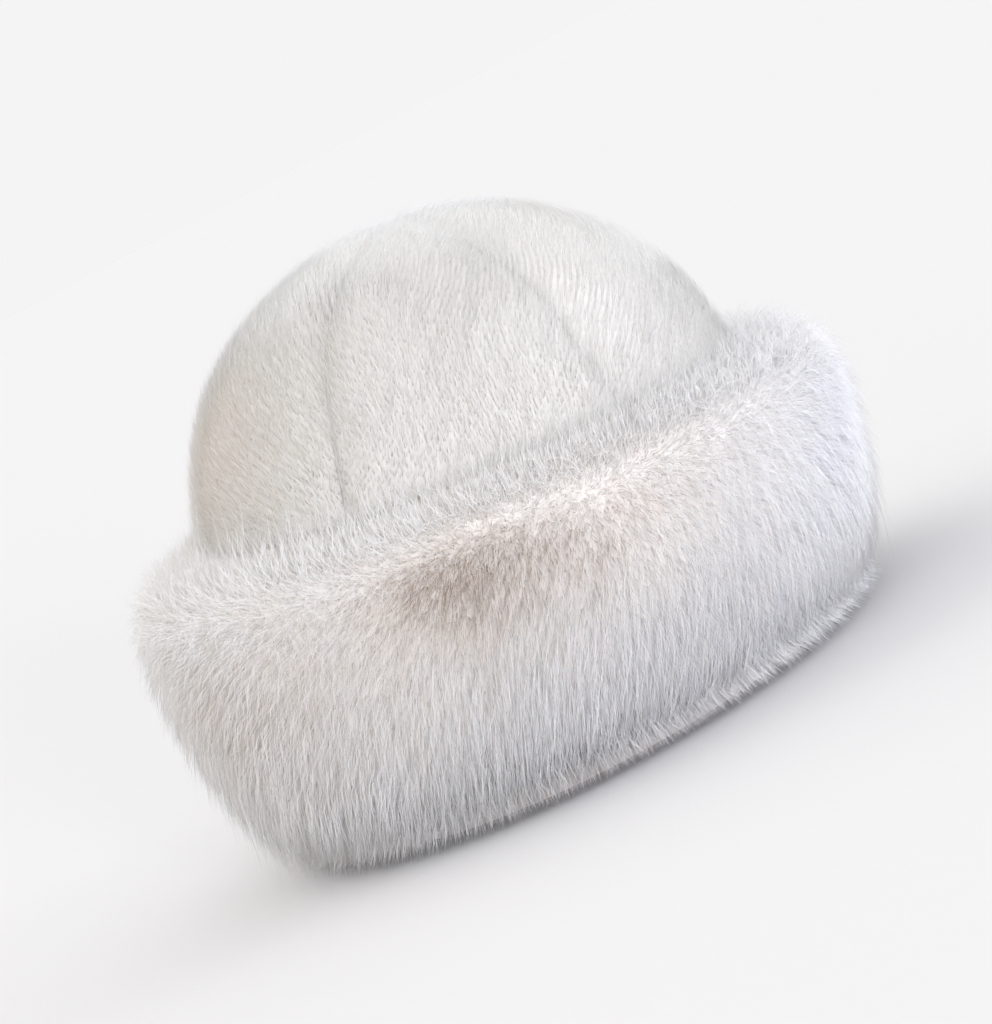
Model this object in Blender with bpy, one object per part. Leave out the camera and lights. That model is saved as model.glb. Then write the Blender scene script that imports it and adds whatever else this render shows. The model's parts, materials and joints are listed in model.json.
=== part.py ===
"""Domed fur hat with a deep long-haired band round its rim.

The crown is six sewn gores of short-pile fur. The band is one strip of long
fur, wrapped round the lower half of the crown and tucked under its edge, with
its outer form cut into rows of hanging locks. The hat stands on its rim at
z = 0, with its front toward -Y. All lengths are in metres.
"""
from collections import namedtuple
from math import acos, atan2, cos, exp, hypot, pi, radians, sin, tan
from random import Random

import bmesh
import bpy
from mathutils import Vector

# Driving sizes: the head opening
HEAD_BREADTH = 0.178
HEAD_LENGTH = 0.194

# Driving sizes: the crown
CROWN_WALL = 0.0105
CROWN_RISE = 0.0805
DOME_SPRING = 0.0055
DOME_FULLNESS = 2.05
GORE_COUNT = 6
SEAM_TURN = radians(1.5)
SEAM_DIP = 0.0025
SEAM_SHOULDER = 0.014
SEAM_FADE = 0.028
GORE_TIP_RADIUS = 0.001

# Driving sizes: the fur band
BAND_HEIGHT = 0.112
BAND_DEPTH = 0.037
BAND_WIDEST = 0.72
SHOULDER_FULLNESS = 2.85
UNDERSIDE_FULLNESS = 1.8
LOCK_SPACING = 0.026
LOCK_WIDTH = 0.0148
LOCK_DEPTH = 0.0085
LOCK_OVERHANG = 0.013
LOCK_SWEEP = 0.004
LOCK_SEED = 7

# Driving sizes: the rim
TUCK_HEIGHT = 0.008
MOUTH_MARGIN = 0.0015
FOOT_WIDTH = 0.0065
FOOT_LIFT = 0.0015

# Driving sizes: how the pieces stand
LEAN_ANGLE = radians(5.5)
SEWN_GAP = 0.0003

# Mesh fineness
GORE_COLUMNS = 10
DOME_ROWS = 12
WALL_ROWS = 5
OUTLINE_STEPS = 60
CROWN_CREASE = radians(60)
BAND_CREASE = radians(75)

# Finishes
CROWN_WHITE = (0.80, 0.79, 0.76, 1.0)
CROWN_ROUGHNESS = 0.85
BAND_WHITE = (0.78, 0.77, 0.77, 1.0)
BAND_ROUGHNESS = 0.90

# Shares: a seam's shoulder of its gore's width at most, and a lock's least
# overhang of the greatest.
SHOULDER_LIMIT = 0.3
SHORTEST_OVERHANG = 0.35

# Soft hollows in the crown: azimuth in degrees from the front toward +X, height
# as a share of the crown's rise, width as a share of the head's breadth, depth
# as a share of the crown's wall.
Fold = namedtuple("Fold", "azimuth height width depth")
FOLDS = (
    Fold(azimuth=-33, height=0.38, width=0.080, depth=0.20),
    Fold(azimuth=-56, height=0.26, width=0.150, depth=0.26),
    Fold(azimuth=32, height=0.30, width=0.080, depth=0.22),
    Fold(azimuth=2, height=0.50, width=0.200, depth=0.10),
    Fold(azimuth=104, height=0.34, width=0.130, depth=0.20),
    Fold(azimuth=163, height=0.42, width=0.140, depth=0.22),
    Fold(azimuth=-128, height=0.30, width=0.120, depth=0.20),
)

# Rows along one lock, from its hidden root to its tip: how far along the lock each
# lies, and how deep below the band's outline as a share of the lock's depth, on
# its ridge and in the valley beside it.
LockRow = namedtuple("LockRow", "along ridge_depth valley_depth")
LOCK_ROWS = (
    LockRow(along=0.00, ridge_depth=1.00, valley_depth=1.00),
    LockRow(along=0.33, ridge_depth=0.34, valley_depth=0.72),
    LockRow(along=0.66, ridge_depth=0.10, valley_depth=0.56),
    LockRow(along=1.00, ridge_depth=0.00, valley_depth=0.60),
)
VALLEY_LENGTH = 0.86

# A place on the band: its turn from its column, how far it lies outside the
# crown, and its height.
Place = namedtuple("Place", "turn out up")

CROWN_TOP = BAND_HEIGHT + CROWN_RISE
DOME_START = BAND_HEIGHT - DOME_SPRING
CROWN_EDGE = TUCK_HEIGHT + SEWN_GAP
BAND_SEAT = CROWN_WALL + SEWN_GAP


def clear_scene():
    """Removes what the scene held before."""
    for old in list(bpy.data.objects):
        bpy.data.objects.remove(old, do_unlink=True)


def lean(point):
    """Bends the hat's axis toward +X, so that its rim stays flat on the floor."""
    slope = tan(LEAN_ANGLE)
    bent = min(point.z, BAND_HEIGHT)
    shift = slope * bent * bent / (2 * BAND_HEIGHT) + slope * max(point.z - BAND_HEIGHT, 0.0)
    drop = slope * bent / BAND_HEIGHT * point.x
    return Vector((point.x + shift, point.y, point.z - drop))


def plan_point(azimuth, offset, height, share=1.0):
    """A point of the head's oval, grown by offset and then shrunk to a share of itself."""
    across = (HEAD_BREADTH / 2 + offset) * share
    along = (HEAD_LENGTH / 2 + offset) * share
    return Vector((across * sin(azimuth), -along * cos(azimuth), height))


def smooth_step(value):
    """Eases a value from 0 to 1."""
    value = min(max(value, 0.0), 1.0)
    return value * value * (3 - 2 * value)


def wall_heights():
    """Heights of the rows that the crown's wall and the band's inside share."""
    steps = WALL_ROWS - 1
    return [CROWN_EDGE + (DOME_START - CROWN_EDGE) * row / steps for row in range(WALL_ROWS)]


def crown_rows():
    """Pairs of height and dome angle, from the crown's edge up to its tip."""
    tip_angle = acos(GORE_TIP_RADIUS / (HEAD_BREADTH / 2))
    rows = [(height, 0.0) for height in wall_heights()]
    for row in range(1, DOME_ROWS + 1):
        rows.append((DOME_START, tip_angle * row / DOME_ROWS))
    return rows


def fold_depth(azimuth, height):
    """How deep the soft hollows go at one place of the crown."""
    total = 0.0
    for fold in FOLDS:
        turn = (azimuth - radians(fold.azimuth) + pi) % (2 * pi) - pi
        across = turn * HEAD_BREADTH / 2
        above = height - (BAND_HEIGHT + fold.height * CROWN_RISE)
        width = fold.width * HEAD_BREADTH
        total += fold.depth * CROWN_WALL * exp(-(across * across + above * above) / (width * width))
    return total


def gore_point(azimuth, seam_distance, row, outer):
    """One point of a gore, on its fur side or on its skin side."""
    base, angle = row
    rise = CROWN_TOP - DOME_START - (0.0 if outer else CROWN_WALL)
    height = base + rise * sin(angle) ** (2 / DOME_FULLNESS)
    point = plan_point(azimuth, CROWN_WALL if outer else 0.0, height, cos(angle))
    if outer:
        gore_width = HEAD_BREADTH / 2 * cos(angle) * 2 * pi / GORE_COUNT
        shoulder = min(SEAM_SHOULDER, gore_width * SHOULDER_LIMIT)
        dip = SEAM_DIP * (1 - smooth_step(seam_distance / shoulder)) + fold_depth(azimuth, height)
        outward = Vector((sin(azimuth) * cos(angle), -cos(azimuth) * cos(angle), sin(angle)))
        point -= outward * dip * smooth_step((height - DOME_START) / SEAM_FADE)
    return lean(point)


def gore_grid(start, outer):
    """Rows of points of one gore between its two seams."""
    grid = []
    for row in crown_rows():
        reach = (HEAD_BREADTH / 2 + (CROWN_WALL if outer else 0.0)) * cos(row[1])
        trim = SEWN_GAP / 2 / reach
        span = 2 * pi / GORE_COUNT - 2 * trim
        line = []
        for column in range(GORE_COLUMNS + 1):
            share = column / GORE_COLUMNS
            azimuth = start + trim + span * share
            seam_distance = min(share, 1 - share) * span * reach
            line.append(gore_point(azimuth, seam_distance, row, outer))
        grid.append(line)
    return grid


def add_grid(mesh, grid):
    """Adds a grid of points to a mesh and gives back its rows of vertices."""
    return [[mesh.verts.new(point) for point in line] for line in grid]


def join_rows(mesh, first, second, closed):
    """Adds the faces between two rows of vertices."""
    count = len(first)
    for column in range(count if closed else count - 1):
        following = (column + 1) % count
        mesh.faces.new((first[column], first[following], second[following], second[column]))


def gore_mesh(start):
    """A closed shell between the fur side and the skin side of one gore."""
    mesh = bmesh.new()
    outside = add_grid(mesh, gore_grid(start, outer=True))
    inside = add_grid(mesh, gore_grid(start, outer=False))
    for lower in range(len(outside) - 1):
        join_rows(mesh, outside[lower], outside[lower + 1], closed=False)
        join_rows(mesh, inside[lower + 1], inside[lower], closed=False)
        for side in (0, -1):
            edge = (outside[lower][side], outside[lower + 1][side], inside[lower + 1][side], inside[lower][side])
            mesh.faces.new(edge if side == 0 else edge[::-1])
    join_rows(mesh, inside[0], outside[0], closed=False)
    join_rows(mesh, outside[-1], inside[-1], closed=False)
    return mesh


def band_outline():
    """The band's outline from the crown over the shoulder and down to the floor.

    Each point is how far it lies outside the crown, and its height.
    """
    points = []
    for step in range(OUTLINE_STEPS + 1):
        angle = pi / 2 * (1 - step / OUTLINE_STEPS)
        out = BAND_DEPTH * cos(angle) ** (2 / SHOULDER_FULLNESS)
        up = BAND_WIDEST + (1 - BAND_WIDEST) * sin(angle) ** (2 / SHOULDER_FULLNESS)
        points.append((out, BAND_HEIGHT * up))
    for step in range(1, OUTLINE_STEPS + 1):
        angle = pi / 2 * step / OUTLINE_STEPS
        out = FOOT_WIDTH + (BAND_DEPTH - FOOT_WIDTH) * cos(angle) ** (2 / UNDERSIDE_FULLNESS)
        drop = (BAND_WIDEST * BAND_HEIGHT - FOOT_LIFT) * sin(angle) ** (2 / UNDERSIDE_FULLNESS)
        points.append((out, BAND_WIDEST * BAND_HEIGHT - drop))
    return points


def outline_length(points):
    """Length along the outline."""
    return sum(hypot(b[0] - a[0], b[1] - a[1]) for a, b in zip(points, points[1:]))


def outline_place(points, distance, depth):
    """The place at a distance along the outline, sunk below it by a depth."""
    for start, end in zip(points, points[1:]):
        piece = hypot(end[0] - start[0], end[1] - start[1])
        if distance <= piece or end is points[-1]:
            share = min(distance / piece, 1.0)
            turn = atan2(end[1] - start[1], end[0] - start[0]) + pi / 2
            out = start[0] + (end[0] - start[0]) * share - depth * cos(turn)
            up = start[1] + (end[1] - start[1]) * share - depth * sin(turn)
            return out, up
        distance -= piece
    return points[-1]


def band_radius():
    """Mean radius of the band's widest ring."""
    return (HEAD_BREADTH + HEAD_LENGTH) / 4 + BAND_SEAT + BAND_DEPTH


def lock_tier(points, tier, pitch, locks, chance):
    """One row of locks round the band, as rings of places on the hat's section."""
    hangs = [LOCK_OVERHANG * chance.uniform(SHORTEST_OVERHANG, 1.0) for _ in range(locks)]
    sweeps = [LOCK_SWEEP * chance.uniform(-1.0, 1.0) / band_radius() for _ in range(locks)]
    rings = []
    for row in LOCK_ROWS:
        ring = []
        for column in range(2 * locks):
            ridge = (column + tier) % 2 == 0
            reach = pitch + hangs[column // 2] if ridge else pitch * VALLEY_LENGTH
            depth = LOCK_DEPTH * (row.ridge_depth if ridge else row.valley_depth)
            out, up = outline_place(points, pitch * tier + reach * row.along, depth)
            turn = sweeps[column // 2] * row.along ** 2 if ridge else 0.0
            ring.append(Place(turn, max(out, 0.0), max(up, 0.0)))
        rings.append(ring)
    return rings


def lock_rings(points):
    """All rows of locks, from the crown over the shoulder down to the floor."""
    chance = Random(LOCK_SEED)
    locks = round(2 * pi * band_radius() / LOCK_WIDTH)
    run = outline_length(points) - LOCK_OVERHANG
    tiers = round(run / LOCK_SPACING)
    rings = []
    for tier in range(tiers):
        rings += lock_tier(points, tier, run / tiers, locks, chance)
    return rings


def band_rings():
    """All rings of the band, round its section from the inside top and back up."""
    rings = lock_rings(band_outline())
    mouth = MOUTH_MARGIN - BAND_SEAT
    inside = [(mouth, 0.0), (mouth, TUCK_HEIGHT), (0.0, TUCK_HEIGHT)]
    inside += [(0.0, height) for height in wall_heights()[1:-1]]
    for out, up in [(FOOT_WIDTH, 0.0)] + inside:
        rings.append([Place(0.0, out, up)] * len(rings[0]))
    return rings


def band_mesh():
    """The fur band: its locks, its tuck under the crown's edge and its inside wall."""
    mesh = bmesh.new()
    rows = []
    for ring in band_rings():
        line = []
        for column, place in enumerate(ring):
            azimuth = 2 * pi * column / len(ring) + place.turn
            line.append(mesh.verts.new(lean(plan_point(azimuth, BAND_SEAT + place.out, place.up))))
        rows.append(line)
    for index, row in enumerate(rows):
        join_rows(mesh, row, rows[(index + 1) % len(rows)], closed=True)
    return mesh


def fur_material(name, colour, roughness):
    """A plain fur colour."""
    material = bpy.data.materials.new(name)
    material.use_nodes = True
    shader = material.node_tree.nodes["Principled BSDF"]
    shader.inputs["Base Color"].default_value = colour
    shader.inputs["Roughness"].default_value = roughness
    shader.inputs["Metallic"].default_value = 0.0
    return material


def make_piece(name, mesh, material, crease):
    """Turns a mesh into a named object with its faces outward and its sides smooth."""
    bmesh.ops.recalc_face_normals(mesh, faces=mesh.faces)
    data = bpy.data.meshes.new(name)
    mesh.to_mesh(data)
    mesh.free()
    data.materials.append(material)
    data.shade_smooth()
    data.set_sharp_from_angle(angle=crease)
    piece = bpy.data.objects.new(name, data)
    bpy.context.scene.collection.objects.link(piece)
    return piece


def centre_on_floor(pieces):
    """Moves all pieces together, so that the hat's box is centred on the origin."""
    corners = [vertex.co for piece in pieces for vertex in piece.data.vertices]
    middle_x = (min(c.x for c in corners) + max(c.x for c in corners)) / 2
    middle_y = (min(c.y for c in corners) + max(c.y for c in corners)) / 2
    for piece in pieces:
        piece.location = (-middle_x, -middle_y, 0.0)


def build_hat():
    """Builds the six gores and the band."""
    clear_scene()
    crown_fur = fur_material("short_white_fur", CROWN_WHITE, CROWN_ROUGHNESS)
    band_fur = fur_material("long_white_fur", BAND_WHITE, BAND_ROUGHNESS)
    pieces = []
    for gore in range(GORE_COUNT):
        start = SEAM_TURN + 2 * pi * (gore - 0.5) / GORE_COUNT
        name = f"crown_gore_{gore + 1}"
        pieces.append(make_piece(name, gore_mesh(start), crown_fur, CROWN_CREASE))
    pieces.append(make_piece("fur_band", band_mesh(), band_fur, BAND_CREASE))
    centre_on_floor(pieces)


build_hat()
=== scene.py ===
"""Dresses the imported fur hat: the skins, the short pile of the crown and the band's long fur.

The hat's solids are only its outer form. Here each gore becomes a curved skin with
thousands of short hairs brushed over it, and the band becomes a backing with two coats
of long hair that gathers in bunches, and a skirt of hairs round the rim. All lengths
are in metres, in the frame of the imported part: +Z up, the front of the hat at -Y.
"""
import json
import logging
from collections.abc import Callable
from dataclasses import dataclass, replace
from enum import Enum
from math import cos, pi, radians, sin, tan

import bmesh
import bpy
import numpy as np
from mathutils import Matrix, Vector
from mathutils.kdtree import KDTree

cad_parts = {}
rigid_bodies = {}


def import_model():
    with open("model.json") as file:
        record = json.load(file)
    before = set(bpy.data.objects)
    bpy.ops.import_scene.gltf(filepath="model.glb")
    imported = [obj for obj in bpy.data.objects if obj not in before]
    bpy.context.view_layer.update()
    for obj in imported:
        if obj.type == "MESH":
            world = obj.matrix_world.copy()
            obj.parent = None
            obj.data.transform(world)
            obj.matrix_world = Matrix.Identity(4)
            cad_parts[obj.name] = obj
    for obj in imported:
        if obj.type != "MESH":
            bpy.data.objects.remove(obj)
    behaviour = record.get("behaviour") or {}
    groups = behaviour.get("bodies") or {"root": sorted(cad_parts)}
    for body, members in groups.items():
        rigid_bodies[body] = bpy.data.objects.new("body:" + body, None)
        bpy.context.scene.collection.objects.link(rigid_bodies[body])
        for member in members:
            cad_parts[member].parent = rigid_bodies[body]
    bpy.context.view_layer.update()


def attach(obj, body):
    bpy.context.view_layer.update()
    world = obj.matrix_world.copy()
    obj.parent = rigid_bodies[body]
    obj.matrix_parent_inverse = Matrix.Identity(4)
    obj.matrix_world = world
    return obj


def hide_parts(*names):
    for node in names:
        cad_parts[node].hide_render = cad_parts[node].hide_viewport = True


LOG = logging.getLogger("fur_hat")
BAKE_MAP = "OFBake"
MM = 0.001
# Keeps a division by nothing away.
TINY = 1e-9
# Points of a mesh that lie closer than this become one.
MERGE_GAP = 1e-6
# Powers of this ratio spread numbered places evenly, without rows.
EVEN_RATIO = 1.32471795724474602596
# A hair's map: its width, and how far its tone and its ends stay inside the edges.
MAP_WIDTH, TONE_MARGIN, END_MARGIN = 0.012, 0.01, 0.002
# Where on its map the cap over a hair's root reaches.
CAP_HEIGHT = 0.02
# Thickness of a hair's last ring, as a share of its first.
END_TAPER = 0.55
# A hair steeper than this gets its rings turned by the X axis, and others by the Z axis.
STEEP = 0.9
# Shares of a hair's length at which it is tested against the floor: first, last, how many.
FLOOR_TESTS = (0.25, 1.25, 41)
# The colour sockets of a Mix node, which share their names with its other sockets.
MIX_FIRST, MIX_SECOND, MIX_RESULT = 6, 7, 2
# Columns of the band's outline.
RUN, OUT, UP, NORMAL_OUT, NORMAL_UP = range(5)

# Roots, elbows and tips of hairs.
Strands = tuple[np.ndarray, np.ndarray, np.ndarray]
# Waves, each with its height, turns round the hat, turns along it and start.
Waves = tuple[tuple[float, float, float, float], ...]


def smooth_step(value: np.ndarray) -> np.ndarray:
    """Eases each value from 0 to 1."""
    value = np.clip(value, 0.0, 1.0)
    return value * value * (3 - 2 * value)


def unit(vectors: np.ndarray) -> np.ndarray:
    """The same directions, each one long."""
    return vectors / np.maximum(np.linalg.norm(vectors, axis=-1, keepdims=True), TINY)


def turn_from(azimuth: np.ndarray, degrees: float) -> np.ndarray:
    """How far each azimuth lies from a place in degrees, the short way round."""
    return np.mod(azimuth - radians(degrees) + pi, 2 * pi) - pi


def wave_sum(table: Waves, azimuth: np.ndarray, along: np.ndarray) -> np.ndarray:
    """Adds up a table's waves at each place."""
    return sum(high * np.sin(turns * azimuth + climb * along + start) for high, turns, climb, start in table)


def blend(first: np.ndarray, second: np.ndarray, share: np.ndarray) -> np.ndarray:
    """Points between the first and the second, by a share for each row."""
    return first + (second - first) * share[:, None]


def even_pairs(count: int, start: float) -> tuple[np.ndarray, np.ndarray]:
    """Pairs from 0 to 1 that fill a square evenly without rows.

    Args:
        count: How many pairs.
        start: Where the sequence begins.

    Returns:
        The first and the second numbers of the pairs.
    """
    index = np.arange(count) + start
    return np.mod(0.5 + index / EVEN_RATIO, 1.0), np.mod(0.5 + index / EVEN_RATIO**2, 1.0)


@dataclass(frozen=True)
class HatForm:
    """The hat's outer form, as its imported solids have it."""

    head_breadth: float = 0.178
    head_length: float = 0.194
    crown_wall: float = 0.0105
    crown_rise: float = 0.0805
    dome_spring: float = 0.0055
    dome_fullness: float = 2.05
    gore_count: int = 6
    seam_turn: float = radians(1.5)
    seam_dip: float = 0.0025
    seam_shoulder: float = 0.014
    seam_share: float = 0.3
    seam_fade: float = 0.028
    tip_radius: float = 0.0006
    band_height: float = 0.112
    band_depth: float = 0.037
    band_widest: float = 0.72
    shoulder_fullness: float = 2.85
    underside_fullness: float = 1.8
    foot_width: float = 0.0065
    foot_lift: float = 0.0015
    foot_slant: float = 0.3
    seat_rise: float = 0.001
    overrun: float = 0.03
    arc_points: int = 61
    outline_points: int = 240
    tuck_height: float = 0.008
    mouth_margin: float = 0.0015
    lean_angle: float = radians(5.5)
    sewn_gap: float = 0.0003
    centre_shift: float = 0.00267
    floor_gap: float = 0.0004
    # Soft hollows: azimuth in degrees, height, width and depth as shares.
    hollows: tuple[tuple[float, float, float, float], ...] = (
        (-33, 0.38, 0.080, 0.20),
        (-56, 0.26, 0.150, 0.26),
        (32, 0.30, 0.080, 0.22),
        (2, 0.50, 0.200, 0.10),
        (104, 0.34, 0.130, 0.20),
        (163, 0.42, 0.140, 0.22),
        (-128, 0.30, 0.120, 0.20),
    )

    @property
    def dome_start(self) -> float:
        """Height where the crown's wall turns into its dome."""
        return self.band_height - self.dome_spring

    @property
    def crown_edge(self) -> float:
        """Height of the crown's lower edge."""
        return self.tuck_height + self.sewn_gap

    @property
    def band_seat(self) -> float:
        """How far the band's inside lies outside the head's oval."""
        return self.crown_wall + self.sewn_gap

    @property
    def mouth(self) -> float:
        """How far the rim's inner edge lies outside the band's seat, which is inward."""
        return self.mouth_margin - self.band_seat

    @property
    def seat_radius(self) -> float:
        """Mean radius of the band's seat."""
        return (self.head_breadth + self.head_length) / 4 + self.band_seat

    def lean(self, points: np.ndarray) -> np.ndarray:
        """Bends upright points along the hat's leaning axis and centres them.

        Args:
            points: Rows of x, y and z on an upright hat.

        Returns:
            The rows on the leaning hat.
        """
        slope = tan(self.lean_angle)
        bent = np.minimum(points[:, 2], self.band_height)
        over = np.maximum(points[:, 2] - self.band_height, 0.0)
        shift = slope * bent * bent / (2 * self.band_height) + slope * over
        drop = slope * bent / self.band_height * points[:, 0]
        moved = np.stack(
            [points[:, 0] + shift - self.centre_shift, points[:, 1], points[:, 2] - drop], axis=1
        )
        moved[:, 2] = np.maximum(moved[:, 2], self.floor_gap)
        return moved

    def plan(
        self, azimuth: np.ndarray, offset: np.ndarray, height: np.ndarray, share: np.ndarray
    ) -> np.ndarray:
        """Upright points on the head's oval, grown by an offset and shrunk to a share.

        Args:
            azimuth: Turn from the front toward +X, in radians.
            offset: Growth of the oval.
            height: Height of each point.
            share: Share of the grown oval.

        Returns:
            Rows of x, y and z.
        """
        across = (self.head_breadth / 2 + offset) * share
        along = (self.head_length / 2 + offset) * share
        return np.stack(
            [across * np.sin(azimuth), -along * np.cos(azimuth), height + 0 * azimuth], axis=1
        )

    def hollow_depth(self, azimuth: np.ndarray, height: np.ndarray) -> np.ndarray:
        """How deep the soft hollows of the crown go at each place.

        Args:
            azimuth: Turn from the front toward +X.
            height: Height of each place.

        Returns:
            A depth for each place.
        """
        total = np.zeros_like(azimuth)
        for turned, up, wide, deep in self.hollows:
            across = turn_from(azimuth, turned) * self.head_breadth / 2
            above = height - (self.band_height + up * self.crown_rise)
            width = wide * self.head_breadth
            total += deep * self.crown_wall * np.exp(-(across**2 + above**2) / width**2)
        return total

    def crown_height(self, angle: np.ndarray, wall: float) -> np.ndarray:
        """Height of the dome at an angle of its curve, with a wall taken off its rise."""
        rise = self.band_height + self.crown_rise - self.dome_start - wall
        return self.dome_start + rise * np.sin(angle) ** (2 / self.dome_fullness)

    def crown_outward(self, azimuth: np.ndarray, angle: np.ndarray) -> np.ndarray:
        """Directions out of the crown's surface."""
        level = np.cos(angle)
        return np.stack(
            [np.sin(azimuth) * level, -np.cos(azimuth) * level, np.sin(angle) + 0 * azimuth],
            axis=1,
        )

    def crown_place(
        self, azimuth: np.ndarray, angle: np.ndarray, depth: np.ndarray
    ) -> np.ndarray:
        """Points under the dome's outer form, with its seams and hollows.

        Args:
            azimuth: Turn from the front toward +X.
            angle: Angle along the dome's curve, from 0 at its foot.
            depth: How far below the form each point lies.

        Returns:
            Rows of x, y and z on the leaning hat.
        """
        height = self.crown_height(angle, 0.0)
        points = self.plan(azimuth, self.crown_wall, height, np.cos(angle))
        wide = 2 * pi / self.gore_count
        share = np.mod((azimuth - self.seam_turn) / wide + 0.5, 1.0)
        gore_width = self.head_breadth / 2 * np.cos(angle) * wide
        shoulder = np.maximum(np.minimum(self.seam_shoulder, gore_width * self.seam_share), TINY)
        aside = np.minimum(share, 1 - share) * gore_width
        dip = self.seam_dip * (1 - smooth_step(aside / shoulder))
        dip = dip + self.hollow_depth(azimuth, height)
        dip = dip * smooth_step((height - self.dome_start) / self.seam_fade)
        outward = self.crown_outward(azimuth, angle)
        return self.lean(points - outward * (dip + depth)[:, None])

    def band_curve(self) -> np.ndarray:
        """The band's outline, from above its seam with the crown to below its foot.

        Returns:
            Rows of run along the outline, place outside the seat, height, and the
            outward direction as its outside and its upward parts.
        """
        angle = np.linspace(pi / 2, 0, self.arc_points)
        shoulder, under = 2 / self.shoulder_fullness, 2 / self.underside_fullness
        cosine, sine = np.clip(np.cos(angle), 0, 1), np.sin(angle)
        out = self.band_depth * cosine**shoulder
        up = self.band_height * (
            self.band_widest + (1 - self.band_widest) * sine**shoulder
        )
        turn = angle[::-1][1:]
        cosine, sine = np.clip(np.cos(turn), 0, 1), np.sin(turn)
        widest = self.band_widest * self.band_height
        out_low = self.foot_width + (self.band_depth - self.foot_width) * cosine**under
        up_low = widest - (widest - self.foot_lift) * sine**under
        outs, ups = np.concatenate([out, out_low]), np.concatenate([up, up_low])
        step = np.hypot(np.diff(outs), np.diff(ups))
        run = np.concatenate([[0.0], np.cumsum(step)])
        even = np.linspace(0, run[-1], self.outline_points)
        outs, ups = np.interp(even, run, outs), np.interp(even, run, ups)
        slope_out, slope_up = np.gradient(outs, even), np.gradient(ups, even)
        normal = unit(np.stack([-slope_up, slope_out], axis=1))
        rows = np.column_stack([even, outs, ups, normal])
        over = self.overrun
        before = [-over, self.seat_rise, self.band_height + over, *normal[0]]
        foot = self.foot_width + self.foot_slant * over
        after = [run[-1] + over, foot, self.foot_lift - over, *normal[-1]]
        return np.vstack([before, rows, after])


FORM = HatForm()
BAND_CURVE = FORM.band_curve()
BAND_RUN = BAND_CURVE[-2, RUN]


def on_curve(run: np.ndarray, columns: tuple[int, ...]) -> list[np.ndarray]:
    """Values of the band's outline at each run, from the columns that are asked for."""
    return [np.interp(run, BAND_CURVE[:, RUN], BAND_CURVE[:, column]) for column in columns]


def band_section(run: np.ndarray, depth: np.ndarray) -> tuple[np.ndarray, np.ndarray]:
    """Places on the band's section.

    Args:
        run: How far along the outline, from the crown.
        depth: How far below the outline.

    Returns:
        How far outside the seat each place lies, and its height.
    """
    out, up, normal_out, normal_up = on_curve(run, (OUT, UP, NORMAL_OUT, NORMAL_UP))
    return out - depth * normal_out, up - depth * normal_up


def band_place(azimuth: np.ndarray, run: np.ndarray, depth: np.ndarray) -> np.ndarray:
    """Points under the band's outer form, on the leaning hat."""
    out, up = band_section(run, depth)
    return FORM.lean(FORM.plan(azimuth, FORM.band_seat + out, up, 1.0))


def band_outward(azimuth: np.ndarray, run: np.ndarray) -> np.ndarray:
    """Directions out of the band's surface."""
    out, up = on_curve(run, (NORMAL_OUT, NORMAL_UP))
    return unit(np.stack([out * np.sin(azimuth), -out * np.cos(azimuth), up], axis=1))


def band_downward(azimuth: np.ndarray, run: np.ndarray) -> np.ndarray:
    """Directions along the band's outline, from the crown to the rim."""
    out, up = on_curve(run, (NORMAL_OUT, NORMAL_UP))
    return unit(np.stack([up * np.sin(azimuth), -up * np.cos(azimuth), -out], axis=1))


def linear(colour: str) -> tuple[float, float, float, float]:
    """Turns an sRGB hex colour into Blender's linear one."""
    parts = [int(colour[start : start + 2], 16) / 255 for start in (1, 3, 5)]
    made = [c / 12.92 if c <= 0.04045 else ((c + 0.055) / 1.055) ** 2.4 for c in parts]
    return (*made, 1.0)


def new_material(name: str) -> tuple[bpy.types.Material, bpy.types.NodeTree, bpy.types.Node]:
    """Makes a material.

    Args:
        name: Its name.

    Returns:
        The material, its node tree and its shader.
    """
    made = bpy.data.materials.new(name)
    made.use_nodes = True
    return made, made.node_tree, made.node_tree.nodes["Principled BSDF"]


def add_object(name: str, data: bpy.types.ID) -> bpy.types.Object:
    """Puts a new object with its data into the scene."""
    made = bpy.data.objects.new(name, data)
    bpy.context.scene.collection.objects.link(made)
    return made


def add_node(
    tree: bpy.types.NodeTree, kind: str, settings: dict, values: dict, links: dict
) -> bpy.types.Node:
    """Adds a node with its settings, socket values and links.

    Args:
        tree: The material's node tree.
        kind: The node's type name.
        settings: Properties of the node.
        values: Values of its unlinked input sockets.
        links: Output sockets that feed its input sockets.

    Returns:
        The node.
    """
    node = tree.nodes.new(kind)
    for name, value in settings.items():
        setattr(node, name, value)
    for name, value in values.items():
        node.inputs[name].default_value = value
    for name, source in links.items():
        tree.links.new(source, node.inputs[name])
    return node


def fill_ramp(node: bpy.types.Node, stops: tuple[tuple[float, str], ...]) -> None:
    """Sets the stops of a colour ramp.

    Args:
        node: The Color Ramp node.
        stops: Pairs of place and hex colour, in order.
    """
    ramp = node.color_ramp
    while len(ramp.elements) < len(stops):
        ramp.elements.new(0.5)
    for element, (place, colour) in zip(ramp.elements, stops):
        element.position = place
        element.color = linear(colour)


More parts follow.
